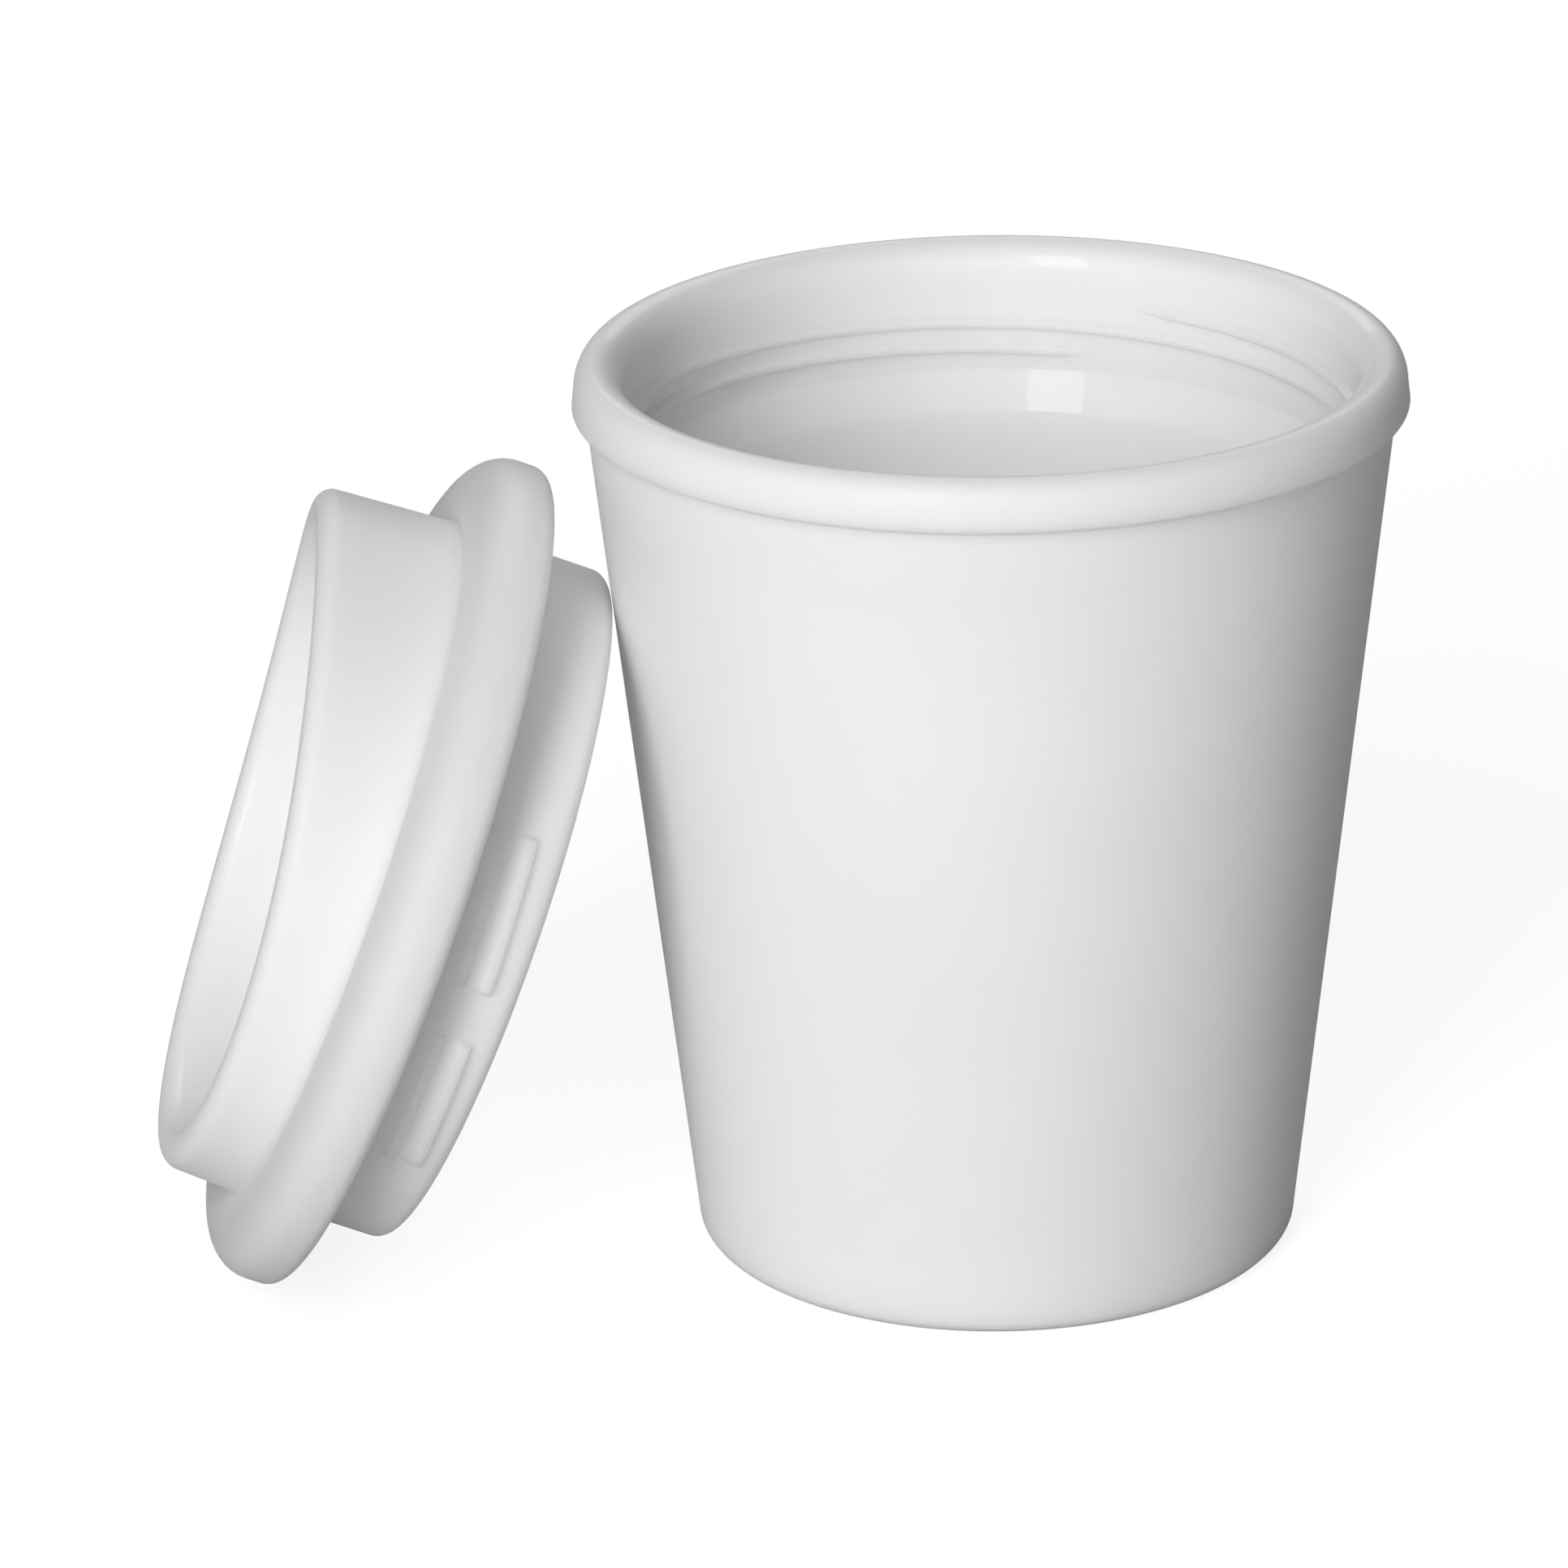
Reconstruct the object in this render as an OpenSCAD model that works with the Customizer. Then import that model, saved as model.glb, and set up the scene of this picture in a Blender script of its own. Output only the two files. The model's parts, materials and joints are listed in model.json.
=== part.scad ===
// A reusable coffee cup of moulded plastic, in the shape of a take-away cup,
// with its screw-in drinking lid taken off and leaning on the cup's side.
// Origin: centre of the cup's base, on the surface it stands on. +Z is up the cup's axis.

/* [Cup body] */
// Height of the cup, to the top of its rim
cup_h = 100.8; // [80:0.1:130]
// Diameter of the base, where the line of the side wall meets the table
base_d = 66; // [50:0.5:74]
// Radius of the rounded edge under the cup
base_edge_r = 1.8; // [0.6:0.1:3]
// Thickness of the wall at the neck, under the rim bead
neck_wall = 4.3; // [3.2:0.1:6]
// Thickness of the side wall below the seat
side_wall = 4.7; // [3:0.1:6]
// Thickness of the cup's floor
floor_t = 4.2; // [2.5:0.1:8]
// Radius of the fillet between the floor and the side wall, inside
floor_fillet = 6; // [2:0.5:10]

/* [Mouth and seat] */
// Bore of the neck, between the threads
neck_d = 79; // [72:0.5:96]
// Height of the rim bead's section
bead_h = 6.1; // [4:0.1:8]
// How far the bead stands out past the side wall
bead_out = 1.2; // [0.6:0.1:3]
// How far the bead swells into the mouth
bead_in = 0.5; // [0.1:0.1:1]
// Radius of the bead's fuller lower edge
bead_low_r = 2.5; // [1.5:0.1:2.8]
// Distance from the middle of the bead down to the centre of that edge
bead_low_drop = 0.85; // [0.4:0.05:1.2]
// Depth of the seat's upper edge below the rim
seat_drop = 14.7; // [12.5:0.1:24]
// Height of the sloping seat
seat_h = 4.3; // [2:0.1:7]

/* [Threads] */
// Number of starts of the thread
thread_starts = 2; // [1:1:3]
// Rise of one start in a full turn
thread_lead = 6.1; // [5.4:0.1:8]
// Angle that each ridge of the cup runs round
ridge_turn = 353; // [200:1:356]
// Direction in which the first ridge of the cup begins
ridge_from = 67; // [0:1:359]
// Depth below the rim of a ridge's lower edge, where the ridge begins
ridge_drop = 7.1; // [6.6:0.1:8]
// Width of a ridge at the wall
ridge_w = 1.45; // [1:0.05:2]
// How far a ridge stands out of the neck's wall
ridge_proud = 0.85; // [0.4:0.05:1]
// Angle over which a ridge dies away at each end
ridge_fade = 9; // [3:1:20]
// Width of a lug of the lid at the wall
lug_w = 1.65; // [1:0.05:2]
// How far a lug stands out of the plug
lug_proud = 0.8; // [0.4:0.05:1]
// Angle of one lug round the plug
lug_turn = 26; // [12:1:34]
// Direction in which the first lug begins, from the tall side of the lid
lug_from = -58.5; // [-180:0.5:180]
// Angle between two lugs that follow each other
lug_gap = 9; // [4:1:20]
// Depth of the lowest edge of the first lug below the skirt's edge
lug_drop = 6.15; // [5.8:0.05:6.6]
// Width that a flank takes up along the axis
flank_w = 0.4; // [0.2:0.05:0.45]

/* [Lid] */
// Room between the plug and the bore of the neck, all round
plug_clearance = 1.1; // [1:0.05:1.6]
// Length of the plug below the skirt's edge
plug_len = 9.8; // [9:0.1:14]
// Thickness of the plug's wall
plug_wall = 2.3; // [1.5:0.1:4]
// Width left inside the rounding at the plug's end
plug_flat = 0.3; // [0.2:0.05:1]
// Radius of the edge inside the plug's end
plug_mouth_r = 0.2; // [0.1:0.05:0.9]
// Thickness of the skirt outside the groove, at its widest point
skirt_wall = 1.75; // [1.2:0.05:4]
// Width left inside the rounding of the skirt's edge
skirt_flat = 0.15; // [0.05:0.05:0.5]
// Height of the upright band above the rounding of the skirt's edge
skirt_band = 1.4; // [0.4:0.1:3]
// Radius of the skirt's round shoulder
shoulder_r = 6.4; // [6:0.1:8]
// Slope of the shoulder where it runs up to the drinking ring
shoulder_slope = 20; // [10:1:30]
// Room between the rim bead and the groove that takes it
lid_gap = 0.25; // [0.1:0.05:0.4]
// How far in from the skirt's widest point the drinking ring stands
ring_inset = 8.8; // [6:0.1:12]
// Thickness of the drinking ring at its foot
ring_wall = 4.7; // [3:0.1:8]
// Draft of the ring's outside
ring_draft = 3.4; // [0:0.1:6]
// Height of the recess floor above the skirt's edge
recess_floor_z = 4.5; // [3:0.1:7]
// Thickness of the recess floor
recess_floor_t = 2; // [1.2:0.1:3]
// Fillet between the recess floor and its wall
recess_fillet = 2; // [0.5:0.1:3]
// Height of the drinking rim at its low side
rim_low_z = 16; // [14.5:0.1:20]
// Radius of the sweep in which the rim climbs to its tall side
rim_sweep_r = 270; // [180:5:600]
// Distance from the lid's axis, on the low side, where the sweep begins
rim_sweep_from = 27; // [0:1:35]
// Height of the rounding along the rim
rim_round_h = 2; // [1:0.1:3]
// Length of the sip opening
sip_len = 14; // [8:0.5:20]
// Width of the sip opening
sip_w = 5; // [3:0.5:7]
// Distance of the sip opening from the recess wall
sip_inset = 3; // [2.5:0.5:8]
// Diameter of the vent hole
vent_d = 2; // [1.5:0.1:3]

/* [How the lid lies] */
// Lean of the lid's disc from upright
lid_lean = 22.2; // [15:0.1:35]
// Direction of the lid round the cup, from the -X side
lid_turn = 6.6; // [-60:0.1:60]
// Room left between the lid and the cup's side
rest_gap = 0.3; // [0.2:0.05:1]

/* [Colour] */
// Colour of the cup
cup_colour = "WhiteSmoke"; // [WhiteSmoke, White, Ivory, LightGrey]
// Colour of the lid
lid_colour = "Snow"; // [Snow, White, Ivory, LightGrey]

/* [Hidden] */
$fn = 180;
// Points on a rounded corner of a section, and angle between two steps round a ridge
ARC_STEPS = 8;
RIDGE_STEP = 6;
RIM_STEP = 4;
// Depth to which a ridge's root is sunk in the wall that carries it
ROOT = 0.6;
// Share of its height that a ridge still has at its very end
RIDGE_END = 0.12;
// Angle over which the steep end of a lug rises
LUG_FADE = 0.6;
// Depth to which the ring's foot is sunk in the lid, and distance that keeps its faces apart
RING_ROOT = 0.5;
SKIN = 0.03;

// Cup: radii of the mouth, from the neck outwards
neck_r = neck_d / 2;
bead_z = cup_h - bead_h / 2;
wall_top_r = neck_r + neck_wall;
rim_r = wall_top_r + bead_out;
bead_bore_r = neck_r - bead_in;
bead_half_w = (rim_r - bead_bore_r) / 2;
bead_mid_r = (rim_r + bead_bore_r) / 2;
bead_low_z = bead_z - bead_low_drop;
// Side wall: a straight taper from the base to the middle of the bead
base_r = base_d / 2;
wall_slope = (wall_top_r - base_r) / bead_z;
seat_top_z = cup_h - seat_drop;
seat_low_z = seat_top_z - seat_h;
seat_r = wall_r(seat_low_z) - side_wall;
floor_r = wall_r(floor_t) - side_wall;
ridge_spacing = thread_lead / thread_starts;

// Lid: sizes of the section, above the skirt's edge at height 0
plug_r = neck_r - plug_clearance;
plug_bore_r = plug_r - plug_wall;
plug_edge_r = plug_wall - plug_flat;
groove_r = rim_r + lid_gap;
skirt_r = groove_r + skirt_wall;
skirt_edge_r = skirt_wall - skirt_flat;
skirt_swell_z = skirt_edge_r + skirt_band;
shoulder_mid_r = skirt_r - shoulder_r;
ring_r = skirt_r - ring_inset;
recess_r = ring_r - ring_wall;
shoulder_end = [
    shoulder_mid_r + shoulder_r * sin(shoulder_slope),
    skirt_swell_z + shoulder_r * cos(shoulder_slope)
];
ring_foot_z = shoulder_end[1] + (shoulder_end[0] - ring_r) * tan(shoulder_slope);
// Groove that takes the rim bead: the bead's own section with room round it
groove_round = bead_half_w + lid_gap;
groove_mid_z = closed_drop() - bead_h / 2;
groove_top_z = groove_mid_z + groove_round;
groove_fillet = 1;

// Place of the leaning lid, in the upright plane through both axes:
// the skirt's edge stands on the table and the plug's end rests by the cup's side
lid_z = (skirt_r - skirt_edge_r) * cos(lid_lean) - skirt_edge_r * sin(lid_lean) + skirt_edge_r;
touch_z = lid_z + (plug_r - plug_edge_r) * cos(lid_lean) - (plug_len - plug_edge_r) * sin(lid_lean);
lid_dist = (plug_r - plug_edge_r) * sin(lid_lean) + (plug_len - plug_edge_r) * cos(lid_lean)
    + wall_r(touch_z) + (plug_edge_r + rest_gap) / cos(atan(wall_slope));

// Radius of the cup's outside at a height
function wall_r(z) = base_r + wall_slope * z;

// Height of the rim's top above the skirt's edge with the lid closed: the plug's end
// then sits on the sloping seat
function closed_drop() = seat_drop - plug_len + seat_h * (neck_r - plug_r) / (neck_r - seat_r);

// Points of an arc in a section, from angle a to angle b
function arc(mid, r, a, b, n = ARC_STEPS) =
    [for (i = [0:n]) mid + r * [cos(a + (b - a) * i / n), sin(a + (b - a) * i / n)]];

// The same on an ellipse with half axes w and h
function oval(mid, w, h, a, b, n = ARC_STEPS) =
    [for (i = [0:n]) mid + [w * cos(a + (b - a) * i / n), h * sin(a + (b - a) * i / n)]];

// Height of the drinking rim at distance x towards the tall side
function rim_z(x) = rim_low_z + pow(max(0, x + rim_sweep_from), 2) / (2 * rim_sweep_r);

// Outer radius of the drinking ring at a height
function ring_outer(z) = ring_r - (z - ring_foot_z) * tan(ring_draft);

// A solid swept along a closed or open row of sections, each a ring of points
module sweep(rings, closed = false) {
    n = len(rings);
    m = len(rings[0]);
    last = closed ? n - 1 : n - 2;
    points = [for (ring = rings) each ring];
    sides = [
        for (i = [0:last], j = [0:m - 1])
            [i * m + j, i * m + (j + 1) % m, ((i + 1) % n) * m + (j + 1) % m, ((i + 1) % n) * m + j]
    ];
    ends = closed ? [] : [
        [for (j = [m - 1:-1:0]) j],
        [for (j = [0:m - 1]) (n - 1) * m + j]
    ];
    polyhedron(points, concat(sides, ends), convexity = 8);
}

// Section of a ridge at angle a: its height and width shrink with grow, and side is 1
// for a ridge that stands outwards and -1 for one that stands inwards
function ridge_section(a, z, r, side, w, proud, grow) =
    let (foot = (w / 2 + ROOT * flank_w / proud) * grow, crest = (w / 2 - flank_w) * grow)
    [for (q = [[-ROOT, -foot], [proud * grow, -crest], [proud * grow, crest], [-ROOT, foot]])
        [(r + side * q[0]) * cos(a), (r + side * q[0]) * sin(a), z + q[1]]];

// A stretch of thread from angle a to angle b, with its lower edge at low_z at angle a
module ridge(a, b, low_z, r, side, w, proud, fade) {
    n = ceil((b - a) / RIDGE_STEP);
    inner = [for (i = [0:n]) a + fade + (b - a - 2 * fade) * i / n];
    stops = concat([a, a + fade / 2], inner, [b - fade / 2, b]);
    rings = [
        for (t = stops)
            ridge_section(t, low_z + w / 2 + thread_lead * (t - a) / 360, r, side, w, proud,
                sin(90 * min(1, max(RIDGE_END, min(t - a, b - t) / fade))))
    ];
    if (side > 0) sweep(rings);
    else sweep([for (ring = rings) [for (j = [len(ring) - 1:-1:0]) ring[j]]]);
}

// Section of the cup: outside from the foot up, over the bead, and down inside
module cup_section() {
    edge_tilt = atan(wall_slope);
    edge_mid = [wall_r(base_edge_r) - base_edge_r / cos(edge_tilt), base_edge_r];
    fillet_mid = [floor_r + wall_slope * floor_fillet - floor_fillet / cos(edge_tilt), floor_t + floor_fillet];
    polygon(concat(
        [[0, 0]],
        arc(edge_mid, base_edge_r, -90, -edge_tilt),
        [[wall_top_r, bead_z], [neck_r, bead_z], [neck_r, seat_top_z], [seat_r, seat_low_z]],
        arc(fillet_mid, floor_fillet, -edge_tilt, -90),
        [[0, floor_t]]
    ));
    bead_section();
}

// Section of the rim bead: round on top, with a fuller edge outside and below
module bead_section() {
    polygon(concat(
        oval([bead_mid_r, bead_z], bead_half_w, bead_h / 2, 0, 180, 3 * ARC_STEPS),
        arc([bead_bore_r + bead_half_w, bead_z], bead_half_w, 180, 214),
        arc([rim_r - bead_low_r, bead_low_z], bead_low_r, -75, 0)
    ));
}

module cup() {
    color(cup_colour) {
        rotate_extrude() cup_section();
        for (k = [0:thread_starts - 1])
            rotate(360 * k / thread_starts)
                ridge(ridge_from - ridge_turn, ridge_from,
                    cup_h - ridge_drop - thread_lead * ridge_turn / 360,
                    neck_r, -1, ridge_w, ridge_proud, ridge_fade);
    }
}

// Section of the lid without its drinking ring
module lid_section() {
    top_z = ring_foot_z - RING_ROOT;
    polygon(concat(
        [[recess_r, top_z], [recess_r, recess_floor_z + recess_fillet]],
        arc([recess_r - recess_fillet, recess_floor_z + recess_fillet], recess_fillet, 0, -90),
        [[0, recess_floor_z], [0, recess_floor_z - recess_floor_t]],
        arc([plug_bore_r - recess_fillet, recess_floor_z - recess_floor_t - recess_fillet],
            recess_fillet, 90, 0),
        arc([plug_bore_r + plug_mouth_r, -plug_len + plug_mouth_r], plug_mouth_r, 180, 270, 2),
        arc([plug_r - plug_edge_r, -plug_len + plug_edge_r], plug_edge_r, -90, 0),
        arc([plug_r + groove_fillet, groove_top_z - groove_fillet], groove_fillet, 180, 90),
        arc([groove_r - groove_round, groove_mid_z], groove_round, 90, 0),
        [[groove_r, 0]],
        arc([skirt_r - skirt_edge_r, skirt_edge_r], skirt_edge_r, -90, 0),
        arc([shoulder_mid_r, skirt_swell_z], shoulder_r, 0, 90 - shoulder_slope, 2 * ARC_STEPS),
        [[ring_r, ring_foot_z], [ring_r - 2 * RING_ROOT, top_z]]
    ));
}

// The drinking ring: a wall with a round edge that climbs to the tall side
module drinking_ring() {
    n = 360 / RIM_STEP;
    foot_z = recess_floor_z + recess_fillet + 2 * RING_ROOT;
    sweep([
        for (i = [0:n - 1])
            let (
                a = RIM_STEP * i,
                mid_r = (ring_outer(rim_low_z) + recess_r) / 2,
                top = rim_z(mid_r * cos(a)),
                spring = top - rim_round_h,
                outer = ring_outer(spring),
                inner = recess_r + SKIN,
                section = concat(
                    [[inner, foot_z], [ring_r - RING_ROOT, foot_z]],
                    [[ring_r - SKIN, ring_foot_z - RING_ROOT]],
                    oval([(outer + inner) / 2, spring], (outer - inner) / 2, rim_round_h, 0, 180)
                )
            )
            [for (q = section) [q[0] * cos(a), q[0] * sin(a), q[1]]]
    ], closed = true);
}

// Slot for sipping, near the tall side, and a vent on the low side
module openings() {
    depth = recess_floor_t + 2;
    sip_x = recess_r - sip_inset - sip_w / 2;
    reach = (sip_len - sip_w) / 2;
    translate([0, 0, recess_floor_z - recess_floor_t - 1]) {
        for (side = [-1, 1])
            translate([sip_x, side * reach, 0]) cylinder(h = depth, d = sip_w, $fn = 48);
        translate([sip_x - sip_w / 2, -reach, 0]) cube([sip_w, 2 * reach, depth]);
        translate([-sip_x, 0, 0]) cylinder(h = depth, d = vent_d, $fn = 32);
    }
}

// The lid in its own frame: skirt's edge at height 0, drinking side up, tall side to +X
module lid_piece() {
    difference() {
        union() {
            rotate_extrude() lid_section();
            drinking_ring();
        }
        openings();
    }
    for (k = [0:thread_starts - 1], row = [0, 1], step = [0, 1])
        rotate(360 * k / thread_starts + lug_from - lug_turn - step * (lug_turn + lug_gap))
            ridge(0, lug_turn,
                row * ridge_spacing - lug_drop
                    - thread_lead * (lug_turn + step * (lug_turn + lug_gap)) / 360,
                plug_r, 1, lug_w, lug_proud, LUG_FADE);
}

module lid() {
    color(lid_colour)
        rotate(lid_turn)
            translate([-lid_dist, 0, lid_z])
                rotate([0, lid_lean - 90, 0])
                    lid_piece();
}

cup();
lid();
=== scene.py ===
# %% [markdown]
# A reusable coffee cup in Blender
#
# The real object is two plastic mouldings. The cup is a thick tapered beaker with a round
# bead for a rim, and a screw thread and a sloping seat inside its neck. The lid has a plug
# with thread lugs, a skirt that hides the bead, and a drinking ring whose rim climbs to one
# side. It has been taken off and leans on the cup. Both are bodies of revolution with a few
# details added, so each is drawn as half a section, spun, and then given its details.

# %% Load the fixed frame
import json
import math

import bpy
import numpy as np
from mathutils import Matrix, Vector

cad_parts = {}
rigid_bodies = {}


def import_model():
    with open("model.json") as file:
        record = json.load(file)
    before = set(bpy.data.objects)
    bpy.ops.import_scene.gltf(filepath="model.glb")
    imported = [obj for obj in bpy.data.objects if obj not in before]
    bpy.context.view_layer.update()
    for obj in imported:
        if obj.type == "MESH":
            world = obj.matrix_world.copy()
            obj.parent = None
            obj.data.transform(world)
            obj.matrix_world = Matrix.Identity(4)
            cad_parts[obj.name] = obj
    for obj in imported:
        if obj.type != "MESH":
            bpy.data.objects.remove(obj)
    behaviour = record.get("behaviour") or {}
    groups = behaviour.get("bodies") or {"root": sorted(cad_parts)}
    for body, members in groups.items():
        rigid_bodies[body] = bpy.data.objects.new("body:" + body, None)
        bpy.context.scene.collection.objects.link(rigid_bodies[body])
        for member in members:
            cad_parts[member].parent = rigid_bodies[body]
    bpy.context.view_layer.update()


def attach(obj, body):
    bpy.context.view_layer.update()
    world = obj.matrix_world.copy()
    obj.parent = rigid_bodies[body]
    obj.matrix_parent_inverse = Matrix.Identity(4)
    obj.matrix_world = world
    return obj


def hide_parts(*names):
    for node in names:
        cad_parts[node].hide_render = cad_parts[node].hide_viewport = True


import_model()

MM = 0.001
scene = bpy.context.scene

# %% [markdown]
# Camera
#
# Vertical edges hardly converge in the photograph, so it was taken from far away with a
# long lens. The outlines of the rim and the base give the camera's height and its tilt
# downwards. The small turn about the view axis levels the cup in the picture.

# %% Camera at the photograph's viewing angle
CAMERA_AT = Vector((16.13, -748.03, 339.36)) * MM
CAMERA_TURN = (68.947, 1.005, 2.603)
FOCAL_MM = 168.05
SENSOR_MM = 36


def add_camera():
    bpy.ops.object.camera_add(location=CAMERA_AT, rotation=[math.radians(a) for a in CAMERA_TURN])
    camera = bpy.context.object
    camera.name = "camera"
    camera.data.lens = FOCAL_MM
    camera.data.sensor_width = SENSOR_MM
    camera.data.clip_start = 0.05
    camera.data.clip_end = 20
    scene.camera = camera
    return camera


camera = add_camera()
print("camera lens in mm:", round(camera.data.lens, 1))

# %% [markdown]
# Drawing a section
#
# A turned or moulded round piece is easiest to judge from half its section: distance from
# the axis along X, height along Z. Rounded corners are arcs, so a few small functions that
# return the points of a line, an arc or a fillet keep the drawing short. Long straight
# stretches get points of their own, because smooth shading looks wrong on faces that are
# very long next to very short ones.

# %% Lines, arcs and fillets of a section
ARC_STEP = math.radians(9)
LINE_STEP = 2.5 * MM
THREAD_STEP = 0.4 * MM


def arc(mid, radius, start, end, tall=None):
    """Points from angle start to angle end, in degrees. With tall it is an ellipse of that half height."""
    a, b = math.radians(start), math.radians(end)
    steps = max(2, math.ceil(abs(b - a) / ARC_STEP))
    turns = [a + (b - a) * i / steps for i in range(steps + 1)]
    return [(mid[0] + radius * math.cos(t), mid[1] + (tall or radius) * math.sin(t)) for t in turns]


def fillet(before, corner, after, radius):
    """The arc that rounds a corner between two straight lines."""
    c = Vector(corner)
    a, b = (Vector(before) - c).normalized(), (Vector(after) - c).normalized()
    half = a.angle(b) / 2
    mid = c + (a + b).normalized() * (radius / math.sin(half))
    first, last = c + a * (radius / math.tan(half)) - mid, c + b * (radius / math.tan(half)) - mid
    turn = first.angle_signed(last)
    steps = max(2, math.ceil(abs(turn) / ARC_STEP))
    begin = math.atan2(first.y, first.x)
    return [tuple(mid + radius * Vector((math.cos(t), math.sin(t))))
            for t in (begin - turn * i / steps for i in range(steps + 1))]


def rows(p, q, step):
    """Evenly spaced points from p to q, for a stretch that needs a fine mesh."""
    parts = max(1, math.ceil(math.dist(p, q) / step))
    return [(p[0] + (q[0] - p[0]) * i / parts, p[1] + (q[1] - p[1]) * i / parts) for i in range(parts + 1)]


def outline(*stretches):
    """Joins stretches of points and divides each long straight run between two of them."""
    points = [stretches[0][0]]
    for stretch in stretches:
        for q in stretch:
            p = points[-1]
            gap = math.dist(p, q)
            if gap > 1e-7:
                points += rows(p, q, LINE_STEP)[1:]
    return points


print("points on a quarter circle:", len(arc((0, 0), MM, 0, 90)))

# %% [markdown]
# Spinning a section
#
# In Blender a section is drawn by hand by putting down one vertex and extruding it from
# point to point. The spin tool then turns the line about the Z axis. The first and last
# copies fall on each other, so doubles are merged, and the normals are made to point out.

# %% Draw and spin
SPIN_STEPS = 288
MERGE = 1e-6
NEAR = 0.1 * MM


def only(piece):
    bpy.ops.object.select_all(action="DESELECT")
    piece.select_set(True)
    bpy.context.view_layer.objects.active = piece


def draw_line(name, points):
    """A new object with one vertex, extruded along the points (distance from the axis, height)."""
    bpy.ops.object.select_all(action="DESELECT")
    bpy.ops.mesh.primitive_plane_add(size=MM)
    piece = bpy.context.object
    piece.name = name
    bpy.ops.object.mode_set(mode="EDIT")
    bpy.ops.mesh.merge(type="CENTER")
    bpy.ops.transform.translate(value=(points[0][0], 0, points[0][1]))
    for p, q in zip(points, points[1:]):
        bpy.ops.mesh.extrude_region_move(
            TRANSFORM_OT_translate={"value": (q[0] - p[0], 0, q[1] - p[1])})
    bpy.ops.object.mode_set(mode="OBJECT")
    return piece


def spin_round(piece, steps=SPIN_STEPS):
    only(piece)
    bpy.ops.object.mode_set(mode="EDIT")
    bpy.ops.mesh.select_all(action="SELECT")
    bpy.ops.mesh.spin(steps=steps, angle=math.tau, center=(0, 0, 0), axis=(0, 0, 1))
    bpy.ops.mesh.select_all(action="SELECT")
    bpy.ops.mesh.remove_doubles(threshold=MERGE)
    bpy.ops.mesh.normals_make_consistent(inside=False)
    bpy.ops.object.mode_set(mode="OBJECT")
    return piece


def places(piece):
    """The vertices of a piece as rows of x, y, z."""
    at = np.empty(len(piece.data.vertices) * 3)
    piece.data.vertices.foreach_get("co", at)
    return at.reshape(-1, 3)


def put_places(piece, at):
    piece.data.vertices.foreach_set("co", at.ravel())
    piece.data.update()


# %% [markdown]
# Sizes of the cup
#
# The heights, radii and walls of the real cup are written once, as metres, and the rest of
# the drawing is worked out from them. The side wall is one straight taper from the base to
# the bead, and everything in the neck is placed from the top of the rim.

# %% The cup's sizes
CUP_H = 100.8 * MM
BASE_R = 33 * MM
BASE_EDGE_R = 1.8 * MM
NECK_R = 39.5 * MM
WALL_TOP_R = 43.8 * MM
WALL_TOP_Z = CUP_H - 3.05 * MM
SIDE_WALL = 4.7 * MM
FLOOR_T = 4.2 * MM
FLOOR_FILLET = 6 * MM
SEAT_TOP_Z = CUP_H - 14.7 * MM
SEAT_LOW_Z = SEAT_TOP_Z - 4.3 * MM
SEAT_TOP_ROUND = 0.5 * MM
SEAT_LOW_ROUND = 0.6 * MM
WALL_SLOPE = (WALL_TOP_R - BASE_R) / WALL_TOP_Z


def wall_r(z):
    return BASE_R + WALL_SLOPE * z


print("cup wall at the base and under the bead, mm:", wall_r(0) / MM, round(wall_r(WALL_TOP_Z) / MM, 2))

# %% [markdown]
# The cup
#
# The section starts under the middle of the base and goes up the outside, over the bead,
# down the neck and the seat, and back to the axis on the floor inside. The bead is a plump
# ring: a nearly upright band outside, with a sharp undercut edge that throws a fine dark
# line on the wall, then two quarter ellipses over the top and down into the neck.

# %% The cup's section, spun
RIM_TOP_R = 42.5 * MM
BAND_TOP = (44.72 * MM, CUP_H - 3.26 * MM)
BAND_LOW = (44.95 * MM, CUP_H - 5.15 * MM)
BAND_EDGE_R = 0.27 * MM
UNDERCUT_H = 0.75 * MM
INSIDE_ROUND_H = 3.4 * MM


def bead_outline():
    crease_z = BAND_LOW[1] - UNDERCUT_H
    crease = (wall_r(crease_z), crease_z)
    band = fillet(crease, BAND_LOW, BAND_TOP, BAND_EDGE_R)
    over = arc((RIM_TOP_R, BAND_TOP[1]), BAND_TOP[0] - RIM_TOP_R, 0, 90, tall=CUP_H - BAND_TOP[1])
    down = arc((RIM_TOP_R, CUP_H - INSIDE_ROUND_H), RIM_TOP_R - NECK_R, 90, 180, tall=INSIDE_ROUND_H)
    return [crease], band, over, down


def cup_outline():
    bead = bead_outline()
    seat_r = wall_r(SEAT_LOW_Z) - SIDE_WALL
    floor_r = wall_r(FLOOR_T) - SIDE_WALL
    foot = fillet((0, 0), (BASE_R, 0), (wall_r(CUP_H), CUP_H), BASE_EDGE_R)
    seat_top = fillet((NECK_R, CUP_H), (NECK_R, SEAT_TOP_Z), (seat_r, SEAT_LOW_Z), SEAT_TOP_ROUND)
    seat_low = fillet((NECK_R, SEAT_TOP_Z), (seat_r, SEAT_LOW_Z), (floor_r, FLOOR_T), SEAT_LOW_ROUND)
    bowl = fillet((seat_r, SEAT_LOW_Z), (floor_r, FLOOR_T), (0, FLOOR_T), FLOOR_FILLET)
    neck = rows(bead[-1][-1], seat_top[0], THREAD_STEP)
    return outline([(0, 0)], foot, *bead, neck, seat_top, seat_low, bowl, [(0, FLOOR_T)])


cup = spin_round(draw_line("cup_body", cup_outline()))
print("cup body:", len(cup.data.polygons), "faces")

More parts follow.
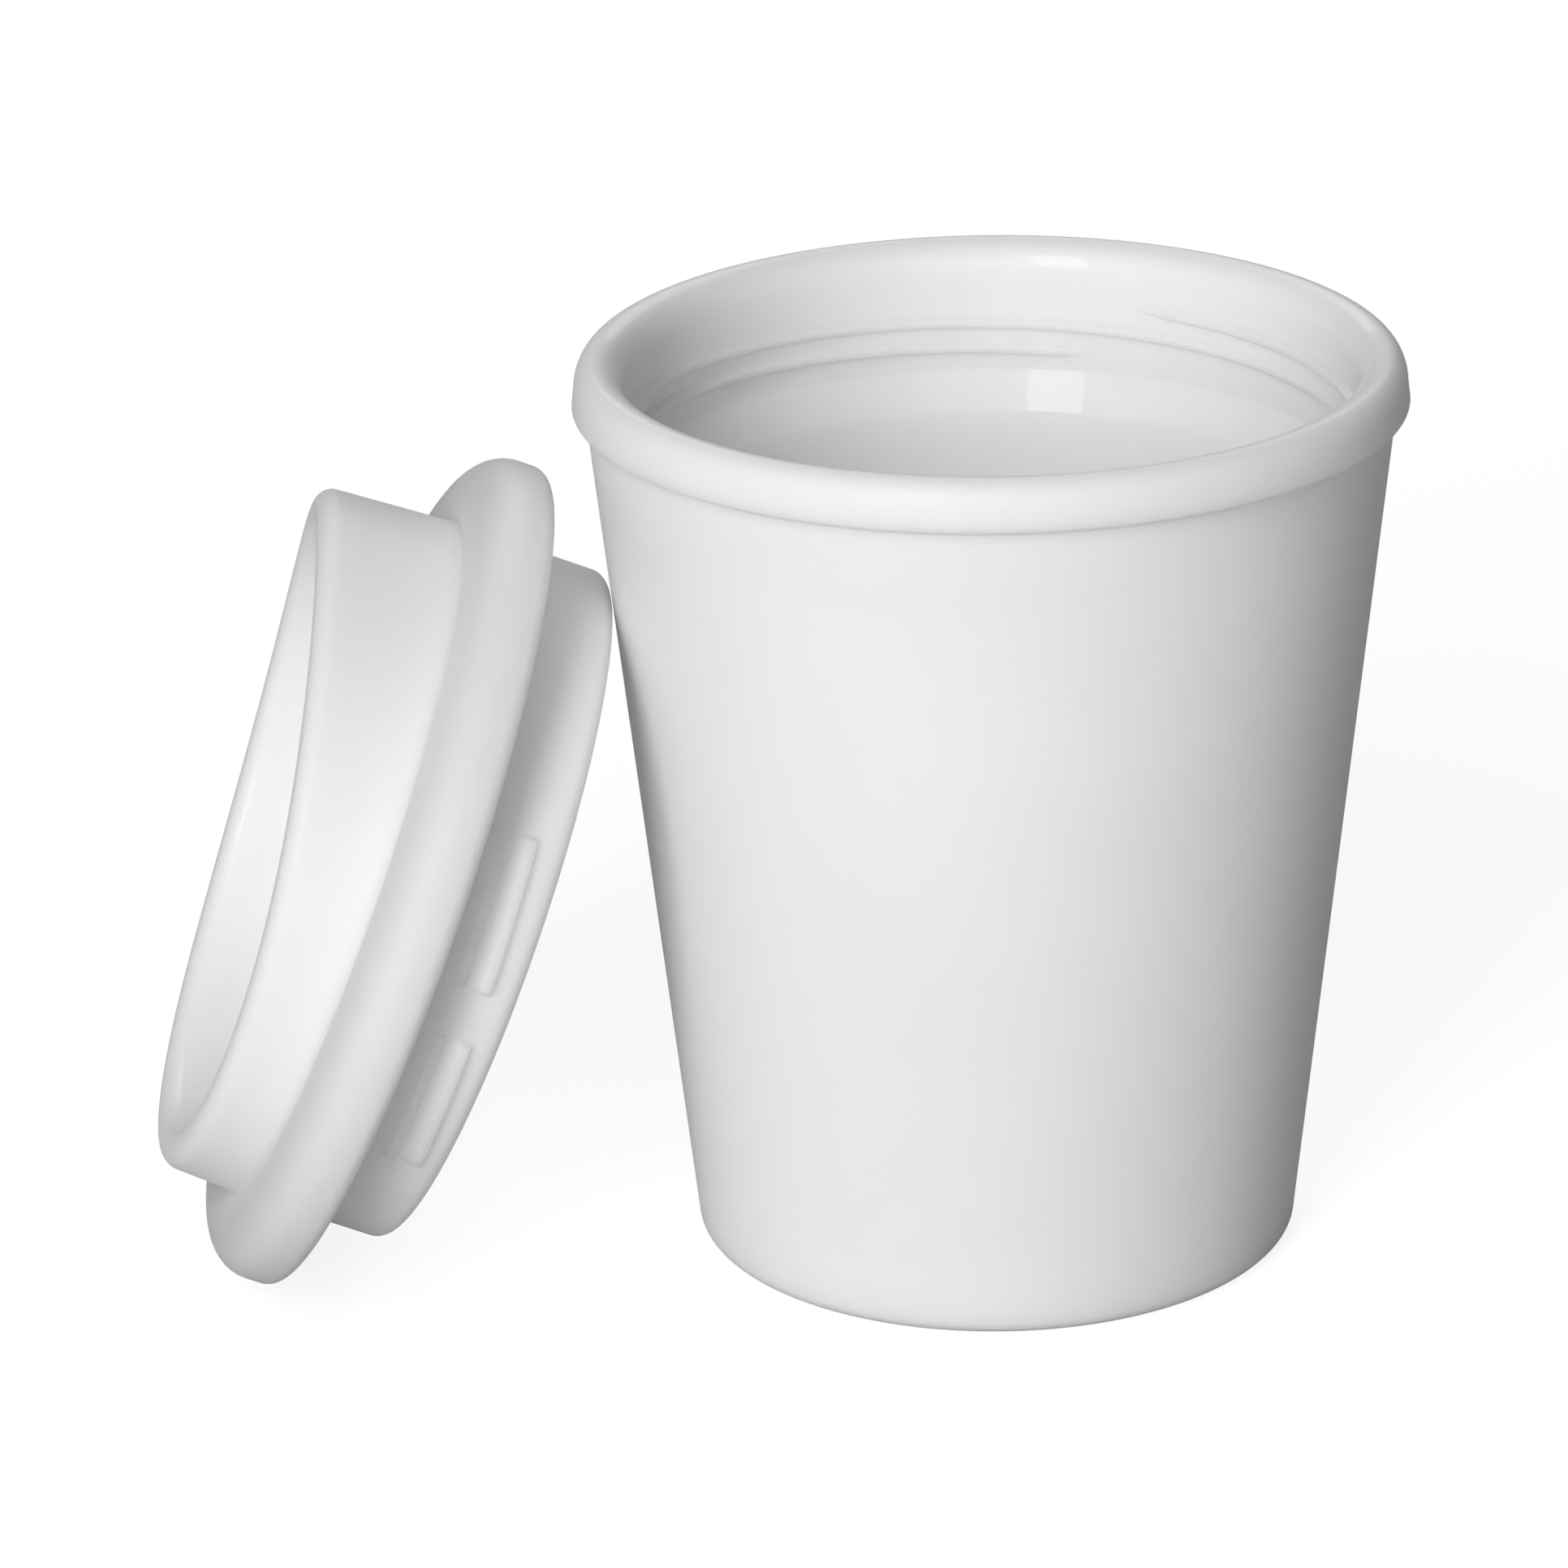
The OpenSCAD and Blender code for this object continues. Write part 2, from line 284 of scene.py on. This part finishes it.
# %% [markdown]
# Screw threads
#
# A thread ridge is a small profile carried along a helix. The Screw modifier does just that:
# it turns a closed line about Z and lifts it at the same time. The lower flank is steep and
# the upper one slopes, so that the two threads find each other easily, and a root reaches
# into the wall. At its ends a real ridge dies away, so the applied mesh is pressed back into
# the wall there, and the open ends are filled.

# %% A ridge along a helix
LEAD = 5.9 * MM
STEEP_FLANK = 0.2 * MM
FOOT_ROUND = 0.1 * MM
SINK = 0.03 * MM
ROOT = 0.6 * MM
END_SINK = 0.08 * MM
END_STEPS = 5


def ridge_profile(r, side, width, proud, slope, low_round, high_round):
    """Starts at the steep flank, which is the lower one. side is -1 for a ridge that faces inwards."""
    low, high = -width / 2, width / 2
    low_crest, high_crest = low + STEEP_FLANK, high - slope
    low_foot = fillet((-SINK, low - MM), (0, low), (proud, low_crest), FOOT_ROUND)
    low_edge = fillet((0, low), (proud, low_crest), (proud, high_crest), low_round)
    high_edge = fillet((proud, low_crest), (proud, high_crest), (0, high), high_round)
    high_foot = fillet((proud, high_crest), (0, high), (-SINK, high + MM), FOOT_ROUND)
    start = [(-ROOT, low_foot[0][1])]
    whole = start + low_foot + low_edge + high_edge + high_foot + [(-ROOT, high_foot[-1][1])] + start
    return [(r + side * p, z) for p, z in whole]


def ridge(name, profile, r, side, start, turn, z_middle, fade, end_width):
    """Thread from angle start, where its middle is at z_middle, over an angle turn, in degrees."""
    piece = draw_line(name, profile)
    only(piece)
    screw = piece.modifiers.new("thread", "SCREW")
    screw.angle = math.radians(turn)
    screw.screw_offset = LEAD * turn / 360
    screw.steps = screw.render_steps = math.ceil(turn * END_STEPS / fade)
    screw.use_merge_vertices = False
    screw.use_smooth_shade = True
    bpy.ops.object.modifier_apply(modifier="thread")
    at = places(piece)
    angle = np.degrees(np.arctan2(at[:, 1], at[:, 0])) % 360
    angle[(angle > (turn + 360) / 2)] -= 360
    radius = np.hypot(at[:, 0], at[:, 1])
    along = np.clip(np.minimum(angle, turn - angle) / fade, 0, 1)
    grow = np.sin(along * math.pi / 2)
    helix_z = LEAD * angle / 360
    proud_now = (radius - r) * side
    proud_now = np.where(proud_now > 0, proud_now * grow, proud_now)
    radius = r + side * (proud_now - END_SINK * (1 - grow))
    around = np.radians(angle + start)
    at[:, 0] = radius * np.cos(around)
    at[:, 1] = radius * np.sin(around)
    at[:, 2] = z_middle + helix_z + (at[:, 2] - helix_z) * (end_width + (1 - end_width) * grow)
    put_places(piece, at)
    bpy.ops.object.mode_set(mode="EDIT")
    bpy.ops.mesh.select_all(action="SELECT")
    bpy.ops.mesh.remove_doubles(threshold=MERGE)
    bpy.ops.mesh.fill_holes(sides=0)
    bpy.ops.mesh.select_all(action="SELECT")
    bpy.ops.mesh.normals_make_consistent(inside=False)
    bpy.ops.object.mode_set(mode="OBJECT")
    return piece


# %% [markdown]
# Fusing pieces of one moulding
#
# The ridges and their wall are one piece of plastic. A Boolean union makes them one closed
# surface, which also matters for the finish: light that enters the plastic must be able to
# travel on inside it without meeting hidden faces.

# %% Join, fuse and cut
def join(name, pieces):
    """Makes one object of several meshes."""
    bpy.ops.object.select_all(action="DESELECT")
    for piece in pieces:
        piece.select_set(True)
    bpy.context.view_layer.objects.active = pieces[0]
    bpy.ops.object.join()
    pieces[0].name = name
    return pieces[0]


def combine(piece, other, how):
    """Boolean of two closed meshes: how is UNION or DIFFERENCE. The other one is used up."""
    only(piece)
    boolean = piece.modifiers.new("combine", "BOOLEAN")
    boolean.operation = how
    boolean.solver = "EXACT"
    boolean.object = other
    bpy.ops.object.modifier_apply(modifier="combine")
    bpy.data.objects.remove(other)
    return piece


# %% [markdown]
# The cup's two ridges
#
# The thread has two starts, half a turn apart. Each ridge runs almost once round the neck.

# %% Ridges in the neck
STARTS = 2
RIDGE_FROM = 67
RIDGE_TURN = 353
RIDGE_DROP = 7.45 * MM
RIDGE_W = 1.45 * MM
RIDGE_PROUD = 0.85 * MM
RIDGE_SLOPE = 0.44 * MM
RIDGE_LOW_ROUND = 0.55 * MM
RIDGE_HIGH_ROUND = 0.12 * MM
RIDGE_FADE = 9
RIDGE_END_W = 0.35


def cup_ridges():
    middle_z = CUP_H - RIDGE_DROP - LEAD * RIDGE_TURN / 360 + RIDGE_W / 2
    profile = ridge_profile(NECK_R, -1, RIDGE_W, RIDGE_PROUD, RIDGE_SLOPE, RIDGE_LOW_ROUND,
                            RIDGE_HIGH_ROUND)
    ridges = []
    for k in range(STARTS):
        start = RIDGE_FROM - RIDGE_TURN + 360 * k / STARTS
        ridges.append(ridge(f"cup_ridge_{k + 1}", profile, NECK_R, -1, start, RIDGE_TURN,
                            middle_z, RIDGE_FADE, RIDGE_END_W))
    return ridges


combine(cup, join("cup_ridges", cup_ridges()), "UNION")
cup.name = "cup_moulding"
print("cup with its thread:", len(cup.data.polygons), "faces")

# %% [markdown]
# Sizes of the lid
#
# Heights are counted from the lower edge of the skirt. Upwards is the drinking side, and
# the plug goes down into the cup. The groove under the skirt is round and a little wider
# than the bead, and its height follows from where the closed lid sits on the cup's seat.

# %% The lid's sizes
PLUG_R = 38.4 * MM
PLUG_LEN = 9.8 * MM
PLUG_EDGE_R = 2 * MM
PLUG_END = 0.05 * MM
PLUG_END_R = 1.5 * MM
PLUG_MOUTH_R = 0.2 * MM
PLUG_WALL = 2.3 * MM
SKIRT_R = 47 * MM
SWELL_Z = 3.3 * MM
SHOULDER_W = 5.7 * MM
SHOULDER_TOP_Z = 8.2 * MM
SHOULDER_TURN = 112
SKIRT_EDGE_R = 1.6 * MM
SKIRT_EDGE_FROM = -88
LIP_ROUND = 0.1 * MM
GROOVE_MID_R = 42 * MM
GROOVE_ROUND = 3.25 * MM
GROOVE_IN_R = 3 * MM
RING_R = 38.43 * MM
RING_FOOT_Z = 7.55 * MM
RING_FOOT_ROUND = 0.55 * MM
RING_DRAFT = math.tan(math.radians(3.4))
RECESS_R = 33.5 * MM
RECESS_FLOOR_Z = 4.5 * MM
RECESS_FLOOR_T = 2 * MM
RECESS_FILLET = 2 * MM
RIM_LOW_Z = 16 * MM
RIM_SWEEP_R = 270 * MM
RIM_SWEEP_FROM = 27 * MM
RIM_ROUND_H = 2 * MM
RIM_BASE_Z = SHOULDER_TOP_Z + 0.3 * MM
SEAT_SHARE = (NECK_R - PLUG_R) / (NECK_R - (wall_r(SEAT_LOW_Z) - SIDE_WALL))
CLOSED_DROP = (CUP_H - SEAT_TOP_Z) - PLUG_LEN + (SEAT_TOP_Z - SEAT_LOW_Z) * SEAT_SHARE
GROOVE_MID_Z = CLOSED_DROP - (CUP_H - WALL_TOP_Z)


def ring_outer(z):
    return RING_R - (z - RING_FOOT_Z) * RING_DRAFT


def rim_z(x):
    return RIM_LOW_Z + np.maximum(0, x + RIM_SWEEP_FROM) ** 2 / (2 * RIM_SWEEP_R)


print("rim heights, low and tall side, mm:", RIM_LOW_Z / MM, round(float(rim_z(0.0355)) / MM, 2))

# %% [markdown]
# The lid
#
# The skirt swells to a round shoulder, which falls into a shallow valley, and the drinking
# ring rises from that valley. The lid is spun as if its ring were low all the way round.
# Then the ring's wall is pulled up, point by point, to the height that the rim has in that
# direction. The rim's round edge moves up whole, and the wall below it stretches.

# %% The lid's section, spun and pulled up
def lid_outline():
    spring = RIM_LOW_Z - RIM_ROUND_H
    outer, bore = ring_outer(spring), PLUG_R - PLUG_WALL
    roof_z = RECESS_FLOOR_Z - RECESS_FLOOR_T
    groove_top = GROOVE_MID_Z + GROOVE_ROUND
    end_z = -PLUG_LEN - PLUG_END
    roof = fillet((0, roof_z), (bore, roof_z), (bore, end_z), RECESS_FILLET)
    mouth = fillet((bore, 0), (bore, end_z), (PLUG_R, end_z), PLUG_MOUTH_R)
    plug_end = fillet((bore, end_z), (PLUG_R, end_z), (PLUG_R, 0), PLUG_END_R)
    groove_in = fillet((PLUG_R, 0), (PLUG_R, groove_top), (SKIRT_R, groove_top), GROOVE_IN_R)
    plug = rows(plug_end[-1], groove_in[0], THREAD_STEP)
    groove_out = arc((GROOVE_MID_R, GROOVE_MID_Z), GROOVE_ROUND, 90, 0)
    groove_low = (groove_out[-1][0], 0)
    lip_in = fillet(groove_out[-1], groove_low, (SKIRT_R, 0), LIP_ROUND)
    lip = arc((SKIRT_R - SKIRT_EDGE_R, SKIRT_EDGE_R), SKIRT_EDGE_R, SKIRT_EDGE_FROM, 0)
    shoulder = arc((SKIRT_R - SHOULDER_W, SWELL_Z), SHOULDER_W, 0, SHOULDER_TURN,
                   tall=SHOULDER_TOP_Z - SWELL_Z)
    ring_foot = fillet(shoulder[-1], (RING_R, RING_FOOT_Z), (outer, spring), RING_FOOT_ROUND)
    rim = arc(((outer + RECESS_R) / 2, spring), (outer - RECESS_R) / 2, 0, 180, tall=RIM_ROUND_H)
    recess = fillet((RECESS_R, spring), (RECESS_R, RECESS_FLOOR_Z), (0, RECESS_FLOOR_Z), RECESS_FILLET)
    return outline([(0, roof_z)], roof, mouth, plug_end, plug, groove_in, groove_out, lip_in, lip,
                   shoulder, ring_foot, rim, recess, [(0, RECESS_FLOOR_Z)])


def pull_up_rim(piece):
    at = places(piece)
    radius = np.hypot(at[:, 0], at[:, 1])
    mid_r = (ring_outer(RIM_LOW_Z) + RECESS_R) / 2
    spring = RIM_LOW_Z - RIM_ROUND_H
    wall = (at[:, 2] > RIM_BASE_Z) & (radius > RECESS_R - NEAR)
    lift = rim_z(mid_r * at[:, 0] / np.maximum(radius, MM)) - RIM_LOW_Z
    share = np.clip((at[:, 2] - RIM_BASE_Z) / (spring - RIM_BASE_Z), 0, 1)
    new_z = at[:, 2] + np.where(wall, lift * share, 0)
    old_t = ring_outer(np.minimum(at[:, 2], spring)) - RECESS_R
    new_t = ring_outer(np.minimum(new_z, spring + lift)) - RECESS_R
    new_radius = np.where(wall, RECESS_R + (radius - RECESS_R) * new_t / old_t, radius)
    turn = np.divide(new_radius, radius, out=np.ones_like(radius), where=radius > MERGE)
    at[:, 0] *= turn
    at[:, 1] *= turn
    at[:, 2] = new_z
    put_places(piece, at)


lid = spin_round(draw_line("lid_body", lid_outline()))
pull_up_rim(lid)
print("lid body:", len(lid.data.polygons), "faces")

# %% [markdown]
# Sip opening and vent
#
# A drinking lid needs a slot to drink through and a small hole that lets air in. They are
# cut with Boolean modifiers, by a rounded block and a cylinder that pass through the floor.

# %% Cut the sip opening and the vent
SIP_LEN = 14 * MM
SIP_W = 5 * MM
SIP_INSET = 3 * MM
VENT_D = 2 * MM
SIP_X = RECESS_R - SIP_INSET - SIP_W / 2
CUT_Z = RECESS_FLOOR_Z - RECESS_FLOOR_T / 2


def slot_cutter():
    bpy.ops.object.select_all(action="DESELECT")
    bpy.ops.mesh.primitive_cylinder_add(vertices=48, radius=SIP_W / 2, depth=4 * RECESS_FLOOR_T,
                                        location=(SIP_X, 0, CUT_Z))
    cutter = bpy.context.object
    bpy.ops.object.transform_apply(location=True)
    at = places(cutter)
    at[:, 1] += np.where(at[:, 1] > MERGE, 1, -1) * (SIP_LEN - SIP_W) / 2
    put_places(cutter, at)
    return cutter


def vent_cutter():
    bpy.ops.object.select_all(action="DESELECT")
    bpy.ops.mesh.primitive_cylinder_add(vertices=32, radius=VENT_D / 2, depth=4 * RECESS_FLOOR_T,
                                        location=(-SIP_X, 0, CUT_Z))
    return bpy.context.object


combine(lid, slot_cutter(), "DIFFERENCE")
combine(lid, vent_cutter(), "DIFFERENCE")
print("lid with its openings:", len(lid.data.polygons), "faces")

# %% [markdown]
# The lid's thread lugs
#
# The lid's thread is broken up into short raised lugs, two rows of them one above the
# other, because short lugs come out of a mould more easily than a full turn. Each lug is
# the same kind of ridge as in the cup, only short, with a wider slope and with steep ends.

# %% Lugs on the plug
LUG_W = 2.35 * MM
LUG_SLOPE = 1.2 * MM
LUG_LOW_ROUND = 0.15 * MM
LUG_HIGH_ROUND = 0.4 * MM
LUG_PROUD = 0.8 * MM
LUG_TURN = 26
LUG_GAP = 8.2
LUG_DROP = 6.5 * MM
LUG_FROM = -57.8
LUG_FADE = 1


def lid_lugs():
    profile = ridge_profile(PLUG_R, 1, LUG_W, LUG_PROUD, LUG_SLOPE, LUG_LOW_ROUND, LUG_HIGH_ROUND)
    lugs = []
    for k in range(STARTS):
        for row in range(2):
            for step in range(2):
                before = LUG_TURN + step * (LUG_TURN + LUG_GAP)
                middle_z = row * LEAD / STARTS - LUG_DROP - LEAD * before / 360 + LUG_W / 2
                start = LUG_FROM - before + 360 * k / STARTS
                lugs.append(ridge(f"lug_{k}_{row}_{step}", profile, PLUG_R, 1, start, LUG_TURN,
                                  middle_z, LUG_FADE, 1))
    return lugs


combine(lid, join("lid_lugs", lid_lugs()), "UNION")
lid.name = "lid_moulding"
print("lid with its lugs:", len(lid.data.polygons), "faces")

# %% [markdown]
# Leaning the lid on the cup
#
# The lid stands on the edge of its skirt, and the end of its plug touches the cup's side.
# Both contacts follow from the two sections: the lid is turned to its lean, set down until
# the skirt's edge meets the table, and moved up to the cup until a hair's gap is left.

# %% Place the lid
LID_LEAN = math.radians(22.2)
LID_TURN = math.radians(6.6)
REST_GAP = 0.3 * MM


def lid_place():
    c, s = math.cos(LID_LEAN), math.sin(LID_LEAN)
    z = (SKIRT_R - SKIRT_EDGE_R) * c - SKIRT_EDGE_R * s + SKIRT_EDGE_R
    end_r, end_z = PLUG_R - PLUG_EDGE_R, PLUG_LEN - PLUG_EDGE_R
    touch_z = z + end_r * c - end_z * s
    away = end_r * s + end_z * c + wall_r(touch_z) + (PLUG_EDGE_R + REST_GAP) * math.hypot(1, WALL_SLOPE)
    return (Matrix.Rotation(LID_TURN, 4, "Z") @ Matrix.Translation((-away, 0, z))
            @ Matrix.Rotation(LID_LEAN - math.pi / 2, 4, "Y"))


lid.data.transform(lid_place())
lid.data.update()
low, high = places(lid).min(0) / MM, places(lid).max(0) / MM
print("lid box in mm:", low.round(2), high.round(2))

# %% [markdown]
# Where the plastic is polished
#
# The outside was moulded against a finely etched tool, so it is satin. The inside of the
# cup was moulded against a polished core and shows the lamp's outline. A value painted on
# the vertices, 0 outside and 1 inside, tells the material which is which, and it fades out
# over the bead, because the core ends there.

# %% Paint where the surface is polished
def paint(piece, name, values):
    layer = piece.data.attributes.new(name, "FLOAT", "POINT")
    layer.data.foreach_set("value", values.astype(np.float32))


def smooth_step(a, b, x):
    t = np.clip((x - a) / (b - a), 0, 1)
    return t * t * (3 - 2 * t)


BEAD_DULL = 0.7


def paint_cup_polish():
    at = places(cup)
    radius = np.hypot(at[:, 0], at[:, 1])
    inside = 1 - BEAD_DULL * smooth_step(-MM, MM, radius - RIM_TOP_R)
    deep = radius < np.array([wall_r(z) for z in at[:, 2]]) - SIDE_WALL / 2
    inside = np.where(at[:, 2] > BAND_LOW[1] - NEAR, inside, np.where(deep, 1, 0))
    inside[at[:, 2] < FLOOR_T / 2] = 0
    paint(cup, "polish", inside)


def paint_lid_polish():
    back = places(lid) @ np.array(lid_place().to_3x3())
    origin = np.array(lid_place().translation) @ np.array(lid_place().to_3x3())
    at = back - origin
    radius = np.hypot(at[:, 0], at[:, 1])
    recess = (radius < RECESS_R + 2 * NEAR) & (at[:, 2] > RECESS_FLOOR_Z - MM / 2)
    hollow = (radius < PLUG_R - PLUG_WALL / 2) & (at[:, 2] < RECESS_FLOOR_Z - MM)
    paint(lid, "polish", np.where(recess | hollow, 1.0, 0.0))


paint_cup_polish()
paint_lid_polish()
print("painted polish on both pieces")

# %% [markdown]
# White plastic
#
# Both mouldings are the same white plastic, which is not fully opaque: light enters it and
# travels some millimetres before it comes out, so that its shadows stay soft and its thin
# edges look bright. Subsurface scattering does that. A very faint cloud in the colour and a
# fine grain in the surface keep it from looking perfect, and the painted polish becomes a
# thin clear coat.

# %% The white plastic
WHITE = 0.88
CLOUD = 0.008
DEPTH_OF_LIGHT = 5 * MM
COAT = 0.18
SMOOTH_BELOW = 40


def grey(value):
    return (value, value, value, 1)


def white_plastic(name):
    mat = bpy.data.materials.new(name)
    mat.use_nodes = True
    nodes, links = mat.node_tree.nodes, mat.node_tree.links
    shader = nodes["Principled BSDF"]
    shader.inputs["Base Color"].default_value = grey(WHITE)
    shader.inputs["IOR"].default_value = 1.49
    shader.inputs["Specular IOR Level"].default_value = 0.12
    shader.inputs["Roughness"].default_value = 0.5
    shader.inputs["Coat Roughness"].default_value = 0.045
    shader.inputs["Subsurface Weight"].default_value = 1
    shader.inputs["Subsurface Radius"].default_value = (1, 1, 1)
    shader.inputs["Subsurface Scale"].default_value = DEPTH_OF_LIGHT
    where = nodes.new("ShaderNodeTexCoord")
    cloud = nodes.new("ShaderNodeTexNoise")
    cloud.inputs["Scale"].default_value = 60
    cloud.inputs["Detail"].default_value = 3
    links.new(where.outputs["Object"], cloud.inputs["Vector"])
    tint = nodes.new("ShaderNodeValToRGB")
    tint.color_ramp.elements[0].position = 0.3
    tint.color_ramp.elements[0].color = grey(WHITE - CLOUD)
    tint.color_ramp.elements[1].position = 0.7
    tint.color_ramp.elements[1].color = grey(WHITE + CLOUD)
    links.new(cloud.outputs["Fac"], tint.inputs["Fac"])
    links.new(tint.outputs["Color"], shader.inputs["Base Color"])
    polish = nodes.new("ShaderNodeAttribute")
    polish.attribute_name = "polish"
    coat = nodes.new("ShaderNodeMapRange")
    coat.inputs["To Min"].default_value = 0
    coat.inputs["To Max"].default_value = COAT
    links.new(polish.outputs["Fac"], coat.inputs["Value"])
    links.new(coat.outputs["Result"], shader.inputs["Coat Weight"])
    grain = nodes.new("ShaderNodeTexNoise")
    grain.inputs["Scale"].default_value = 5000
    links.new(where.outputs["Object"], grain.inputs["Vector"])
    bump = nodes.new("ShaderNodeBump")
    bump.inputs["Strength"].default_value = 0.12
    bump.inputs["Distance"].default_value = 0.02 * MM
    links.new(grain.outputs["Fac"], bump.inputs["Height"])
    links.new(bump.outputs["Normal"], shader.inputs["Normal"])
    return mat


def dress(piece, mat, node):
    piece.data.materials.clear()
    piece.data.materials.append(mat)
    only(piece)
    bpy.ops.object.shade_smooth_by_angle(angle=math.radians(SMOOTH_BELOW))
    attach(piece, "root")
    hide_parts(node)


dress(cup, white_plastic("white_plastic_cup"), "cup")
dress(lid, white_plastic("white_plastic_lid"), "lid")
print("both pieces dressed")

# %% [markdown]
# Floor, background and light
#
# The photograph has a pure white ground. The floor therefore glows for the camera alone,
# nearly up to white, and the lamps add the rest, so that only the shadow falls below white.
# To every other ray it is a plain mid-grey floor, because a brighter one would throw more
# light up into the cup's shaded side than the photograph shows.

# %% Floor and background
FLOOR_SIZE = 12
FLOOR_SEEN = 0.9
FLOOR_FELT = 0.5
GLOW = 1.22
GLOW_SHARE = 0.7
AMBIENT = 0.02


def floor_material():
    mat = bpy.data.materials.new("white_floor")
    mat.use_nodes = True
    nodes, links = mat.node_tree.nodes, mat.node_tree.links
    nodes.clear()
    out = nodes.new("ShaderNodeOutputMaterial")
    path = nodes.new("ShaderNodeLightPath")
    tone = nodes.new("ShaderNodeMapRange")
    tone.inputs["To Min"].default_value = FLOOR_FELT
    tone.inputs["To Max"].default_value = FLOOR_SEEN
    links.new(path.outputs["Is Camera Ray"], tone.inputs["Value"])
    plain = nodes.new("ShaderNodeBsdfDiffuse")
    links.new(tone.outputs["Result"], plain.inputs["Color"])
    glow = nodes.new("ShaderNodeEmission")
    glow.inputs["Color"].default_value = (1, 1, 1, 1)
    glow.inputs["Strength"].default_value = GLOW
    share = nodes.new("ShaderNodeMath")
    share.operation = "MULTIPLY"
    share.inputs[1].default_value = GLOW_SHARE
    links.new(path.outputs["Is Camera Ray"], share.inputs[0])
    mix = nodes.new("ShaderNodeMixShader")
    links.new(share.outputs[0], mix.inputs["Fac"])
    links.new(plain.outputs[0], mix.inputs[1])
    links.new(glow.outputs[0], mix.inputs[2])
    links.new(mix.outputs[0], out.inputs["Surface"])
    return mat


def white_world():
    """White to the camera, and a trace of light from all round to everything else."""
    world = bpy.data.worlds.new("studio")
    scene.world = world
    world.use_nodes = True
    nodes, links = world.node_tree.nodes, world.node_tree.links
    back = nodes["Background"]
    back.inputs["Color"].default_value = (1, 1, 1, 1)
    path = nodes.new("ShaderNodeLightPath")
    strength = nodes.new("ShaderNodeMapRange")
    strength.inputs["To Min"].default_value = AMBIENT
    strength.inputs["To Max"].default_value = 1
    links.new(path.outputs["Is Camera Ray"], strength.inputs["Value"])
    links.new(strength.outputs["Result"], back.inputs["Strength"])


bpy.ops.object.select_all(action="DESELECT")
bpy.ops.mesh.primitive_plane_add(size=FLOOR_SIZE)
floor = bpy.context.object
floor.name = "floor"
floor.data.materials.append(floor_material())
white_world()
print("floor and background are in place")

# %% [markdown]
# Lamps
#
# The glossy neck shows a tall softbox at the front left, some 20 degrees beside the camera.
# A larger and weaker one in front of the cup softens the shading, and a third from behind
# lifts the inside of the cup and the edge of the bead a little.

# %% Softboxes
AIM = Vector((0, 0, 70 * MM))
LAMP_AWAY = 3.2


def softbox(name, azimuth, elevation, width, height, power):
    """A rectangular lamp that faces the cup. Its azimuth is counted from -Y, positive to the left."""
    a, e = math.radians(azimuth), math.radians(elevation)
    away = Vector((-math.sin(a) * math.cos(e), -math.cos(a) * math.cos(e), math.sin(e)))
    bpy.ops.object.light_add(type="AREA", location=AIM + away * LAMP_AWAY)
    lamp = bpy.context.object
    lamp.name = name
    lamp.rotation_euler = away.to_track_quat("Z", "Y").to_euler()
    lamp.data.shape = "RECTANGLE"
    lamp.data.size, lamp.data.size_y = width, height
    lamp.data.energy = power
    return lamp


softbox("key_softbox", 22, 27, 0.94, 2.5, 76)
softbox("front_softbox", -5, 20, 2.4, 1.8, 25)
softbox("back_softbox", 180, 35, 2.4, 1.6, 39)
scene.view_settings.view_transform = "Standard"
